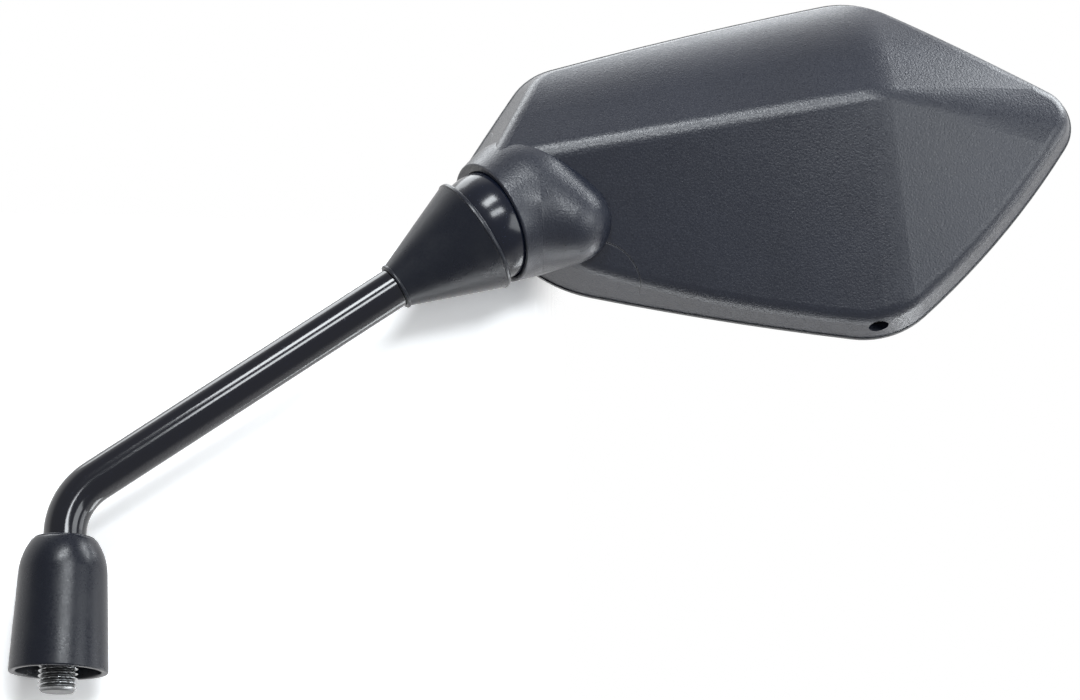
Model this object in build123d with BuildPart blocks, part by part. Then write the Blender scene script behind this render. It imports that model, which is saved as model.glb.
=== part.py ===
"""Motorcycle mirror: faceted head on a sprung ball joint, bent stem with a threaded stud.

Frame: the stud's axis is Z, the stem bends in the XZ plane towards +X, the glass looks towards +Y.
The origin is the centre of the lock nut's lower face. Millimetres and degrees.
"""

import os
from math import asin, cos, radians, sin, sqrt, tan

from build123d import *

os.makedirs("parts", exist_ok=True)

# Stud and stem
stud_radius = 5.0
stud_length = 16.0
stud_chamfer = 1.0
thread_depth = 0.35
thread_length = 12.0
stem_radius = 5.5
bend_height = 33.9
bend_radius = 17.0
stem_rise = 35.5
stem_reach = 133.9

# Lock nut
nut_flats = 16.0
nut_height = 6.0
nut_bevel = 2.0
nut_clearance = 0.05

# Rubber cover of the stud
cover_drop = 11.0
cover_height = 34.6
cover_rim_radius = 12.65
cover_shoulder_radius = 11.3
cover_shoulder_height = 25.5
cover_top_radius = 7.85
cover_wall = 1.8
cover_collar = 4.0
rubber_grip = 0.05

# Hollow ball
ball_radius = 15.0
ball_wall = 2.6
ball_window = 8.3
ball_split = 4.0
ball_lip = 3.0
ball_lip_wall = 1.1
rivet_spigot = 4.0
rivet_head = 5.8
rivet_height = 1.2
rivet_seat = 10.0

# Rubber boot of the joint
boot_gap = 4.4
boot_length = 26.8
boot_rim_radius = 16.25
boot_rim_lip = 1.3
boot_lip_step = 0.25
boot_neck_radius = 6.3
boot_bead_radius = 6.55
boot_bead_length = 0.9
boot_collar = 4.5

# Set of the joint as photographed
joint_yaw = 14.5
joint_pitch = 6.0
head_turn = 5.5

# Neck of the head and the ball seat
seat_gap = 0.3
neck_setback = 1.0
neck_radius = 16.1
neck_lip_round = 0.5
neck_wall = 2.4
stub_bore = 11.0
stub_wall = 2.5
stub_length = 21.0
screw_pad_radius = 7.5
screw_pad_height = 1.0

# Bulb between the neck and its nose on the lower facet, measured from the ball's centre
bulb_centre = (8.5, 7.2, -5.7)
bulb_radius = 19.1
nose_centre = (20.9, 1.75, -1.2)
nose_radius = 11.8

# Pull of the joint: screw, springs and spherical washers
screw_radius = 3.0
screw_flats = 10.0
screw_head_height = 4.0
screw_clearance = 0.1
washer_radius = 7.0
washer_height = 1.2
cup_wall = 1.7
cup_window = 5.6
cup_rim_angle = 70.0
thrust_face = 6.5
spring_radius = 6.2
spring_thickness = 0.7
spring_cone = 0.35
spring_count = 5
spring_play = 0.02
lock_height = 5.5
screw_tip = 1.0

# Head outline at the rim, seen from the back, measured from the ball's centre
rim_depth = 23.0
corner_neck_top = (-11.0, 18.1)
corner_upper = (9.6, 51.4)
corner_crest = (102.9, 74.7)
corner_tip = (166.6, 40.8)
corner_drain = (110.3, -26.2)
corner_neck_bottom = (14.5, -10.2)
round_neck_top = 12.0
round_upper = 18.0
round_crest = 28.0
round_tip = 11.5
round_drain = 25.0
round_neck_bottom = 40.0
crown_neck = 0.2
crown_left = 0.2
crown_top = 1.0
crown_right = 0.5
crown_low_right = 4.0
crown_bottom = 1.3

# Facets of the head: sections of the back at the root, the peak and the tip of the ridge
wall = 2.5
wall_draft = 15.6
wall_tilt = 6.6
ridge_lean = 5.2
root_along = -20.0
root_up = 11.4
root_height = 34.2
root_upper_slope = 30.0
root_lower_slope = 33.0
root_round = 6.0
peak_along = 105.7
peak_up = 36.6
peak_height = 29.0
peak_upper_slope = 25.5
peak_lower_slope = 15.5
peak_round = 6.0
tip_along = 172.0
tip_up = 35.0
tip_height = 8.5
tip_upper_slope = 16.0
tip_lower_slope = 12.0
tip_round = 45.0
peak_blend = 30.0
shoulder_start = 14.0
shoulder_round = 65.0
shoulder_slope = 75.0
edge_round = 5.0

# Drain hole in the lower wall
drain_along = 105.6
drain_up = -25.0
drain_height = 8.0
drain_radius = 2.75

# Front ring, glass and what carries them
bezel_height = 1.3
bezel_step = 0.3
bezel_lip = 1.6
pocket_inset = 2.8
glass_play = 0.3
glass_centre = (80.0, 25.0)
glass_sphere = 1300.0
glass_crown = 0.2
glass_thickness = 2.2
cushion_thickness = 0.8
plate_thickness = 2.2
cavity_height = 26.0
boss_radius = 4.0
boss_places = [(35.0, 44.0), (96.0, 60.0), (143.0, 36.0), (96.0, -8.0)]
plate_screw_radius = 1.5
plate_screw_length = 8.0
plate_screw_head = 2.9
plate_screw_sink = 0.25
plate_screw_play = 0.05

# Directions: stem, joint and head
stem_dir = Vector(cos(radians(stem_rise)), 0, sin(radians(stem_rise)))
stem_up = Vector(-sin(radians(stem_rise)), 0, cos(radians(stem_rise)))
bend_corner = Vector(0, 0, bend_height)
ball_centre = bend_corner + stem_dir * stem_reach
cup_dir = stem_dir.rotate(Axis((0, 0, 0), stem_up), joint_yaw)
pitch_dir = Vector(0, 1, 0).rotate(Axis((0, 0, 0), stem_up), joint_yaw)
neck_dir = cup_dir.rotate(Axis((0, 0, 0), pitch_dir), joint_pitch)

stem_plane = Plane(origin=ball_centre, x_dir=stem_dir, z_dir=(0, -1, 0))
cup_plane = Plane(origin=ball_centre, x_dir=cup_dir, z_dir=-pitch_dir)
neck_plane = Plane(origin=ball_centre, x_dir=neck_dir, z_dir=-pitch_dir)
stem_axis = Axis(ball_centre, stem_dir)
cup_axis = Axis(ball_centre, cup_dir)
neck_axis = Axis(ball_centre, neck_dir)

head_out = Vector(cos(radians(head_turn)), -sin(radians(head_turn)), 0)
head_back = Vector(-sin(radians(head_turn)), -cos(radians(head_turn)), 0)
head_plane = Plane(origin=ball_centre, x_dir=head_out, z_dir=head_back)
rim_plane = head_plane.offset(-rim_depth)
section_out = head_out.rotate(Axis((0, 0, 0), head_back), ridge_lean)
section_up = Vector(0, 0, 1).rotate(Axis((0, 0, 0), head_back), ridge_lean)
lower_draft = wall_draft - wall_tilt
drain_dir = head_back * sin(radians(lower_draft)) - Vector(0, 0, 1) * cos(radians(lower_draft))
drain_centre = rim_plane.from_local_coords((drain_along, drain_up, drain_height))
drain_plane = Plane(origin=drain_centre, x_dir=head_out, z_dir=drain_dir)
nose_end = (head_plane.from_local_coords(nose_centre), nose_radius)
neck_end = (ball_centre, neck_radius)

# Spheres of the glass, its cushion and its plate, all about one point behind the head
sphere_centre = rim_plane.from_local_coords((*glass_centre, glass_sphere - glass_crown))
glass_inset = pocket_inset + glass_play
glass_back = glass_sphere - glass_thickness
cushion_back = glass_back - cushion_thickness
plate_back = cushion_back - plate_thickness

# Radii of the nested spheres in the joint
cavity_radius = ball_radius - ball_wall
cup_radius = cavity_radius - seat_gap
thrust_radius = cup_radius - cup_wall - seat_gap
seat_radius = ball_radius + seat_gap
dome_radius = seat_radius + neck_wall
rod_end = sqrt(ball_radius**2 - stem_radius**2)
pad_start = sqrt(dome_radius**2 - screw_pad_radius**2)

# Stack along the tension screw, from its head to its tip
pad_level = dome_radius + screw_pad_height
head_level = pad_level + washer_height
spring_pitch = spring_thickness + spring_cone + spring_play
spring_end = thrust_face - spring_count * spring_pitch
lock_level = spring_end - washer_height
tip_level = lock_level - lock_height - screw_tip


def hexagon(flats):
    """Regular six-sided sketch, given across its flats."""
    return RegularPolygon(flats / 2, 6, major_radius=False)


def head_outline():
    """Rim outline of the head: six crowned edges with rounded corners."""
    corners = [
        corner_neck_top,
        corner_upper,
        corner_crest,
        corner_tip,
        corner_drain,
        corner_neck_bottom,
    ]
    crowns = [crown_left, crown_top, crown_right, crown_low_right, crown_bottom, crown_neck]
    rounds = [
        round_neck_top,
        round_upper,
        round_crest,
        round_tip,
        round_drain,
        round_neck_bottom,
    ]
    with BuildSketch() as outline:
        with BuildLine():
            for index, crown in enumerate(crowns):
                SagittaArc(corners[index], corners[(index + 1) % len(corners)], crown)
        make_face()
        for corner, radius in zip(corners, rounds):
            fillet(outline.vertices().sort_by_distance(Vector(*corner))[0], radius)
    return outline.sketch


def inset_outline(inset):
    """Rim outline moved inwards, each of its edges drawn as one arc."""
    wire = outline.face().outer_wire()
    with BuildSketch() as moved:
        with BuildLine():
            for edge in (wire.offset_2d(-inset) if inset else wire).edges():
                ThreePointArc(edge @ 0, edge @ 0.5, edge @ 1)
        make_face()
    return moved.sketch


def crest_section(along, up, height, upper_slope, lower_slope, crest_round):
    """Section of the space under the two long facets, in a plane across the ridge."""
    span = rim_depth * 5
    crest = rim_plane.from_local_coords((along, up, height))
    with BuildSketch(Plane(origin=crest, x_dir=section_up, z_dir=section_out)) as section:
        with BuildLine():
            flat = Line((0, 0), (shoulder_start, -shoulder_start * tan(radians(upper_slope))))
            shoulder = JernArc(flat @ 1, flat % 1, shoulder_round, upper_slope - shoulder_slope)
            Polyline(
                shoulder @ 1,
                (span, -span * 2),
                (-span, -span * 2),
                (-span, -span * tan(radians(lower_slope))),
                (0, 0),
            )
        make_face()
        fillet(section.vertices().sort_by(Axis.Y)[-1], crest_round)
    return section.sketch


def facet_form(inset):
    """Space under the facets: from root to peak, and from peak to tip of the ridge."""
    root = crest_section(
        root_along, root_up, root_height - inset, root_upper_slope, root_lower_slope, root_round
    )
    peak = crest_section(
        peak_along, peak_up, peak_height - inset, peak_upper_slope, peak_lower_slope, peak_round
    )
    tip = crest_section(
        tip_along, tip_up, tip_height - inset, tip_upper_slope, tip_lower_slope, tip_round
    )
    with BuildPart() as form:
        loft(sections=[root, peak], ruled=True)
        loft(sections=[peak, tip], ruled=True)
    return form.part


def sphere_point(radius, along):
    """Point of a joint sphere's outline, at a distance along its axis."""
    return (along, sqrt(radius**2 - along**2))


def sphere_arc(radius, start, end):
    """Arc of a joint sphere's outline between two distances along its axis."""
    middle = (start + end) / 2
    return ThreePointArc(
        sphere_point(radius, start), sphere_point(radius, middle), sphere_point(radius, end)
    )


def sphere_rim(radius, opening):
    """Distance along the axis at which a sphere has an opening of the given radius."""
    return sqrt(radius**2 - opening**2)


def neck_level(distance):
    """Plane across the neck's axis, at a distance from the ball's centre."""
    return Plane(origin=ball_centre + neck_dir * distance, x_dir=pitch_dir, z_dir=neck_dir)


def joined_spheres(first, first_radius, second, second_radius):
    """Two spheres and their common cone, turned about the line through their centres."""
    line = second - first
    span = line.length
    lean = asin((first_radius - second_radius) / span)
    half = (lean + radians(90)) / 2
    with BuildPart() as form:
        with BuildSketch(Plane(origin=first, x_dir=line, z_dir=line.cross(head_back))):
            with BuildLine():
                sphere_arc(first_radius, -first_radius, first_radius * sin(lean))
                Line(
                    (first_radius * sin(lean), first_radius * cos(lean)),
                    (span + second_radius * sin(lean), second_radius * cos(lean)),
                )
                ThreePointArc(
                    (span + second_radius * sin(lean), second_radius * cos(lean)),
                    (span + second_radius * sin(half), second_radius * cos(half)),
                    (span + second_radius, 0),
                )
                Line((span + second_radius, 0), (-first_radius, 0))
            make_face()
        revolve(axis=Axis(first, line))
    return form.part


def boss_form(inset, ends):
    """Bulb drawn out to each of its ends, cut off at the neck's mouth and at the front ring."""
    bulb = head_plane.from_local_coords(bulb_centre)
    with BuildPart() as form:
        for centre, radius in ends:
            add(joined_spheres(bulb, bulb_radius - inset, centre, radius - inset))
        split(bisect_by=neck_level(neck_setback), keep=Keep.TOP)
        split(bisect_by=rim_plane.offset(bezel_height + inset), keep=Keep.TOP)
    return form.part


def drafted_form(inset, high):
    """Solid inside the outline up to a level, its walls leaning inwards and all tilted down."""
    rise = high - bezel_height
    with BuildPart() as form:
        with BuildSketch(rim_plane.offset(bezel_height)) as foot:
            add(inset_outline(inset))
        with BuildSketch(rim_plane.offset(high)) as top:
            with Locations((0, -rise * tan(radians(wall_tilt)))):
                add(inset_outline(inset + rise * tan(radians(wall_draft))))
        loft(sections=[foot.sketch, top.sketch], ruled=True)
    return form.part


def front_slab(inset, outer_sphere, inner_sphere):
    """Plate inside the outline between two spheres about the glass's centre."""
    with BuildPart() as slab:
        with BuildSketch(rim_plane.offset(-rim_depth / 2)):
            add(inset_outline(inset))
        extrude(amount=rim_depth)
        with Locations(sphere_centre):
            Sphere(outer_sphere, mode=Mode.INTERSECT)
            if inner_sphere:
                Sphere(inner_sphere, mode=Mode.SUBTRACT)
    return slab.part


def sphere_level(place, sphere):
    """Height above the rim plane of a glass sphere's front, at a place of the head."""
    across = (place[0] - glass_centre[0]) ** 2 + (place[1] - glass_centre[1]) ** 2
    return glass_sphere - glass_crown - sqrt(sphere**2 - across)


outline = head_outline()
peak_point = rim_plane.from_local_coords((peak_along, peak_up, peak_height))

# Stem rod: stud, thread under the nut, bent rod and riveted end in the ball
with BuildPart() as stem_rod:
    with BuildLine(Plane.XZ) as stem_line:
        FilletPolyline(
            (0, thread_length),
            (0, bend_height),
            (
                (stem_reach - rod_end) * cos(radians(stem_rise)),
                bend_height + (stem_reach - rod_end) * sin(radians(stem_rise)),
            ),
            radius=bend_radius,
        )
    with BuildSketch(Plane.XY.offset(thread_length)):
        Circle(stem_radius)
    sweep(path=stem_line.line)
    with BuildSketch(Plane.XY):
        Circle(stud_radius - thread_depth)
    extrude(amount=thread_length)
    with BuildSketch(Plane.XY):
        Circle(stud_radius)
    extrude(amount=-stud_length)
    chamfer(stem_rod.edges().group_by(Axis.Z)[0], stud_chamfer)
    with BuildSketch(stem_plane):
        with BuildLine():
            Polyline(
                (-rod_end, 0),
                (-rod_end, rivet_spigot),
                (-rivet_seat, rivet_spigot),
                (-rivet_seat, rivet_head),
                (rivet_height - rivet_seat, rivet_head),
                (rivet_height - rivet_seat, 0),
                close=True,
            )
        make_face()
    revolve(axis=stem_axis)

# Lock nut: thin hexagon with bevelled corners
with BuildPart() as lock_nut:
    with BuildSketch():
        hexagon(nut_flats)
        Circle(stud_radius - thread_depth + nut_clearance, mode=Mode.SUBTRACT)
    extrude(amount=nut_height)
    with BuildSketch(Plane.XZ):
        with BuildLine():
            Polyline(
                (0, 0),
                (nut_flats / 2, 0),
                (nut_flats / 2 + nut_bevel, nut_bevel * tan(radians(30))),
                (nut_flats / 2 + nut_bevel, nut_height - nut_bevel * tan(radians(30))),
                (nut_flats / 2, nut_height),
                (0, nut_height),
                close=True,
            )
        make_face()
    revolve(axis=Axis.Z, mode=Mode.INTERSECT)

# Stud cover: bell with a rounded shoulder that grips the stem
with BuildPart() as stud_cover:
    with BuildSketch(Plane.XZ.shift_origin((0, 0, -cover_drop))):
        with BuildLine():
            flank = Line(
                (cover_rim_radius, 0), (cover_shoulder_radius, cover_shoulder_height)
            )
            TangentArc(flank @ 1, (cover_top_radius, cover_height), tangent=flank % 1)
            Polyline(
                (cover_top_radius, cover_height),
                (stem_radius + rubber_grip, cover_height),
                (stem_radius + rubber_grip, cover_height - cover_collar),
                (cover_shoulder_radius - cover_wall, cover_shoulder_height - cover_collar),
                (cover_rim_radius - cover_wall, 0),
                (cover_rim_radius, 0),
            )
        make_face()
    revolve(axis=Axis.Z)

# Joint boot: straight rubber cone with a bead on the stem and a lip round the ball
boot_start = -boot_gap - boot_length
with BuildPart() as joint_boot:
    with BuildSketch(stem_plane):
        with BuildLine():
            Polyline(
                (boot_start, stem_radius + rubber_grip),
                (boot_start, boot_bead_radius),
                (boot_start + boot_bead_length, boot_bead_radius),
                (boot_start + boot_bead_length, boot_neck_radius),
                (-boot_gap - boot_rim_lip, boot_rim_radius - boot_lip_step),
                (-boot_gap - boot_rim_lip, boot_rim_radius),
                (-boot_gap, boot_rim_radius),
                (-boot_gap, boot_rim_radius - boot_rim_lip),
                (boot_start + boot_collar, stem_radius + rubber_grip),
                close=True,
            )
        make_face()
    revolve(axis=stem_axis)

# Ball cup: hollow front of the ball, with the window that the screw swings in
lip_radius = sphere_point(ball_radius, -ball_split)[1] - ball_lip_wall
with BuildPart() as ball_cup:
    with BuildSketch(stem_plane):
        with BuildLine():
            sphere_arc(ball_radius, sphere_rim(ball_radius, ball_window), -ball_split)
            Polyline(
                sphere_point(ball_radius, -ball_split),
                (-ball_split, lip_radius),
                (ball_lip - ball_split, lip_radius),
                sphere_point(cavity_radius, ball_lip - ball_split),
            )
            sphere_arc(cavity_radius, ball_lip - ball_split, sphere_rim(cavity_radius, ball_window))
            Line(
                (sphere_rim(cavity_radius, ball_window), ball_window),
                (sphere_rim(ball_radius, ball_window), ball_window),
            )
        make_face()
    revolve(axis=stem_axis)

# Ball base: back of the ball on the rod's spigot, with a collar inside the cup's lip
collar_top = ball_lip - ball_split - rubber_grip
with BuildPart() as ball_base:
    with BuildSketch(stem_plane):
        with BuildLine():
            sphere_arc(ball_radius, -ball_split, -rod_end)
            Polyline(
                (-rod_end, stem_radius),
                (-rod_end, rivet_spigot + nut_clearance),
                (-rivet_seat, rivet_spigot + nut_clearance),
                sphere_point(cavity_radius, -rivet_seat),
            )
            sphere_arc(cavity_radius, -rivet_seat, collar_top)
            Polyline(
                sphere_point(cavity_radius, collar_top),
                (collar_top, lip_radius - rubber_grip),
                (-ball_split, lip_radius - rubber_grip),
                sphere_point(ball_radius, -ball_split),
            )
        make_face()
    revolve(axis=stem_axis)

# Pressure cup: spherical ring that presses the ball cup outwards from within
cup_rim = cup_radius * cos(radians(cup_rim_angle))
cup_inner = cup_radius - cup_wall
cup_inner_rim = cup_inner * cos(radians(cup_rim_angle))
with BuildPart() as pressure_cup:
    with BuildSketch(cup_plane):
        with BuildLine():
            sphere_arc(cup_radius, sphere_rim(cup_radius, cup_window), cup_rim)
            Line(sphere_point(cup_radius, cup_rim), sphere_point(cup_inner, cup_inner_rim))
            sphere_arc(cup_inner, cup_inner_rim, sphere_rim(cup_inner, cup_window))
            Line(
                (sphere_rim(cup_inner, cup_window), cup_window),
                (sphere_rim(cup_radius, cup_window), cup_window),
            )
        make_face()
    revolve(axis=cup_axis)

# Thrust washer: spherical on the cup's side, flat on the springs' side
screw_hole = screw_radius + screw_clearance
with BuildPart() as thrust_washer:
    with BuildSketch(neck_plane):
        with BuildLine():
            sphere_arc(thrust_radius, sphere_rim(thrust_radius, screw_hole), thrust_face)
            Polyline(
                sphere_point(thrust_radius, thrust_face),
                (thrust_face, screw_hole),
                (sphere_rim(thrust_radius, screw_hole), screw_hole),
            )
        make_face()
    revolve(axis=neck_axis)

# Disc springs: coned washers stacked in turns on the screw
with BuildPart() as disc_springs:
    for index in range(spring_count):
        near = thrust_face - spring_play - index * spring_pitch
        inner = near - (index % 2) * spring_cone
        outer = near - (1 - index % 2) * spring_cone
        with BuildSketch(neck_plane):
            with BuildLine():
                Polyline(
                    (inner, screw_hole),
                    (outer, spring_radius),
                    (outer - spring_thickness, spring_radius),
                    (inner - spring_thickness, screw_hole),
                    close=True,
                )
            make_face()
        revolve(axis=neck_axis)

# Washers under the screw's head and under its nut
with BuildPart() as screw_washer:
    with BuildSketch(neck_level(pad_level)):
        Circle(washer_radius)
        Circle(screw_hole, mode=Mode.SUBTRACT)
    extrude(amount=washer_height)

with BuildPart() as spring_washer:
    with BuildSketch(neck_level(lock_level)):
        Circle(washer_radius)
        Circle(screw_hole, mode=Mode.SUBTRACT)
    extrude(amount=washer_height - spring_play)

# Tension screw and its locking nut
with BuildPart() as tension_screw:
    with BuildSketch(neck_level(head_level)):
        hexagon(screw_flats)
    extrude(amount=screw_head_height)
    with BuildSketch(neck_level(tip_level)):
        Circle(screw_radius)
    extrude(amount=head_level - tip_level)

with BuildPart() as tension_nut:
    with BuildSketch(neck_level(lock_level)):
        hexagon(screw_flats)
        Circle(screw_radius + nut_clearance, mode=Mode.SUBTRACT)
    extrude(amount=-lock_height)

# Glass, cushion and plate: slices of one sphere inside the head's pocket
with BuildPart() as mirror_glass:
    add(front_slab(glass_inset, glass_sphere, glass_back))

with BuildPart() as glass_cushion:
    add(front_slab(glass_inset + bezel_lip, glass_back, cushion_back))

with BuildPart() as backing_plate:
    add(front_slab(glass_inset, cushion_back, plate_back))
    for place in boss_places:
        level = sphere_level(place, cushion_back) + plate_screw_sink
        with BuildSketch(rim_plane.offset(level - plate_screw_head)):
            with Locations(place):
                Circle(plate_screw_head * 2 + plate_screw_play)
        extrude(amount=plate_screw_head * 2, taper=45, mode=Mode.SUBTRACT)
        with BuildSketch(rim_plane.offset(level)):
            with Locations(place):
                Circle(plate_screw_radius + plate_screw_play)
        extrude(amount=plate_screw_length, mode=Mode.SUBTRACT)

# Plate screws: countersunk, one in each boss
with BuildPart() as plate_screws:
    for place in boss_places:
        level = sphere_level(place, cushion_back) + plate_screw_sink
        with BuildSketch(rim_plane.offset(level)):
            with Locations(place):
                Circle(plate_screw_head)
        extrude(amount=plate_screw_head - plate_screw_radius, taper=45)
        with BuildSketch(rim_plane.offset(level)):
            with Locations(place):
                Circle(plate_screw_radius)
        extrude(amount=plate_screw_length)

# Front ring: closes the joint between shell and glass
with BuildPart() as glass_bezel:
    with BuildSketch(rim_plane):
        add(inset_outline(-bezel_step))
    extrude(amount=bezel_height)
    with BuildSketch(rim_plane):
        add(inset_outline(pocket_inset + glass_play / 2))
    extrude(amount=bezel_height * 2)
    add(front_slab(pocket_inset, glass_sphere + rubber_grip, 0), mode=Mode.SUBTRACT)
    with BuildSketch(rim_plane):
        add(inset_outline(glass_inset + bezel_lip))
    extrude(amount=rim_depth, both=True, mode=Mode.SUBTRACT)

# Hollow of the housing, left filled round the ball seat and its stub
with BuildPart() as hollow:
    add(drafted_form(wall, cavity_height))
    add(facet_form(wall), mode=Mode.INTERSECT)
    add(boss_form(wall, [nose_end]))
    with Locations(ball_centre):
        Sphere(dome_radius, mode=Mode.SUBTRACT)
    with BuildSketch(neck_level(0)):
        Circle(stub_bore + stub_wall)
    extrude(amount=stub_length, mode=Mode.SUBTRACT)

# Bosses for the plate's screws
with BuildPart() as screw_bosses:
    with BuildSketch(rim_plane.offset(bezel_height)):
        with Locations(*boss_places):
            Circle(boss_radius)
    extrude(amount=root_height)
    add(facet_form(wall / 2), mode=Mode.INTERSECT)

# Housing: drafted walls under the facets, softened at the peak and along the edge
with BuildPart() as housing:
    add(drafted_form(0, root_height))
    add(facet_form(0), mode=Mode.INTERSECT)
    crease = housing.edges().filter_by(
        lambda edge: all(
            abs((vertex.center() - peak_point).dot(section_out)) < neck_wall / 100
            for vertex in edge.vertices()
        )
    )
    fillet(crease, peak_blend)
    facets = housing.faces().filter_by(lambda face: face.normal_at().dot(head_back) > 0.6)
    walls = housing.faces().filter_by(lambda face: abs(face.normal_at().dot(head_back)) < 0.6)
    fillet((facets.edges() & walls.edges()).sort_by(SortBy.LENGTH), edge_round)
    add(boss_form(0, [nose_end, neck_end]))
    mouth = housing.faces().sort_by(neck_axis)[0]
    fillet(mouth.edges(), neck_lip_round)
    add(hollow.part, mode=Mode.SUBTRACT)
    add(screw_bosses.part)
    with BuildSketch(neck_plane):
        with BuildLine():
            sphere_arc(dome_radius, sphere_rim(dome_radius, stub_bore), pad_start)
            Polyline(
                (pad_start, screw_pad_radius),
                (pad_level, screw_pad_radius),
                (pad_level, 0),
                (stub_length, 0),
                (stub_length, stub_bore),
                (sphere_rim(dome_radius, stub_bore), stub_bore),
            )
        make_face()
    revolve(axis=neck_axis, mode=Mode.SUBTRACT)
    with Locations(ball_centre):
        Sphere(seat_radius, mode=Mode.SUBTRACT)
    with BuildSketch(neck_level(0)):
        Circle(screw_hole)
    extrude(amount=stub_length, mode=Mode.SUBTRACT)
    add(front_slab(pocket_inset, glass_sphere + rim_depth, plate_back), mode=Mode.SUBTRACT)
    for place in boss_places:
        with BuildSketch(rim_plane.offset(sphere_level(place, cushion_back))):
            with Locations(place):
                Circle(plate_screw_radius + plate_screw_play)
        extrude(amount=plate_screw_length + plate_screw_radius, mode=Mode.SUBTRACT)
    with BuildSketch(drain_plane):
        Circle(drain_radius)
    extrude(amount=wall * 2, both=True, mode=Mode.SUBTRACT)

# Labels and files
stem_rod.part.label = "stem_rod"
lock_nut.part.label = "lock_nut"
stud_cover.part.label = "stud_cover"
joint_boot.part.label = "joint_boot"
ball_base.part.label = "ball_base"
ball_cup.part.label = "ball_cup"
pressure_cup.part.label = "pressure_cup"
thrust_washer.part.label = "thrust_washer"
disc_springs.part.label = "disc_springs"
spring_washer.part.label = "spring_washer"
tension_nut.part.label = "tension_nut"
tension_screw.part.label = "tension_screw"
screw_washer.part.label = "screw_washer"
housing.part.label = "housing"
glass_bezel.part.label = "glass_bezel"
mirror_glass.part.label = "mirror_glass"
glass_cushion.part.label = "glass_cushion"
backing_plate.part.label = "backing_plate"
plate_screws.part.label = "plate_screws"

export_step(stem_rod.part, "parts/stem_rod.step")
export_step(lock_nut.part, "parts/lock_nut.step")
export_step(stud_cover.part, "parts/stud_cover.step")
export_step(joint_boot.part, "parts/joint_boot.step")
export_step(ball_base.part, "parts/ball_base.step")
export_step(ball_cup.part, "parts/ball_cup.step")
export_step(pressure_cup.part, "parts/pressure_cup.step")
export_step(thrust_washer.part, "parts/thrust_washer.step")
export_step(disc_springs.part, "parts/disc_springs.step")
export_step(spring_washer.part, "parts/spring_washer.step")
export_step(tension_nut.part, "parts/tension_nut.step")
export_step(tension_screw.part, "parts/tension_screw.step")
export_step(screw_washer.part, "parts/screw_washer.step")
export_step(housing.part, "parts/housing.step")
export_step(glass_bezel.part, "parts/glass_bezel.step")
export_step(mirror_glass.part, "parts/mirror_glass.step")
export_step(glass_cushion.part, "parts/glass_cushion.step")
export_step(backing_plate.part, "parts/backing_plate.step")
export_step(plate_screws.part, "parts/plate_screws.step")
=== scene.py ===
"""Looks of the motorcycle mirror: its finishes, rubber skins, threaded stud and a white studio.

Lengths are in metres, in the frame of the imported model: the stud's axis is Z, the stem bends in
the XZ plane towards +X and the glass looks towards +Y.
"""

import logging
from dataclasses import dataclass, field
from enum import Enum
from math import cos, radians, sin, tan
from typing import Dict, Mapping, Optional, Sequence, Tuple, Union

import bpy
import numpy as np
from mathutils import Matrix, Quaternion, Vector


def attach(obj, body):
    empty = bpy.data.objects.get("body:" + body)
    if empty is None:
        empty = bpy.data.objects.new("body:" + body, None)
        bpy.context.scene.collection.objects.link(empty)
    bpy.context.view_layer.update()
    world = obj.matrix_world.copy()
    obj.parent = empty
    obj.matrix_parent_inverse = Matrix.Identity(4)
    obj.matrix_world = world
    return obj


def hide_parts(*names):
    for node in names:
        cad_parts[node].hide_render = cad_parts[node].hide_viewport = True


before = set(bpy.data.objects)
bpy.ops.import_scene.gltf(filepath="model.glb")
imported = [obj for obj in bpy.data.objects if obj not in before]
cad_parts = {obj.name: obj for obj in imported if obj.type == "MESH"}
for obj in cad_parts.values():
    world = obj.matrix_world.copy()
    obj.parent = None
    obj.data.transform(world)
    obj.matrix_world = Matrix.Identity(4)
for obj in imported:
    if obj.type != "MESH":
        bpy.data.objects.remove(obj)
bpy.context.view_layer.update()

log = logging.getLogger("mirror")

Colour = Tuple[float, float, float]
Point = Tuple[float, float, float]
Pair = Tuple[float, float]
Socket = bpy.types.NodeSocket
Sockets = Dict[str, object]
Number = Union["Field", float]


class Slot(Enum):
    """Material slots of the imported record."""

    STEM_PAINT = "stem_paint"
    ZINC = "zinc"
    RUBBER = "rubber"
    BALL_PAINT = "ball_paint"
    STEEL = "steel"
    SHELL = "shell_plastic"
    BEZEL = "bezel_plastic"
    MIRROR = "mirror"
    FOAM = "foam"
    PLATE = "plate_plastic"


class Body(Enum):
    """Bodies that a new piece rides on."""

    STEM = "stem"


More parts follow.
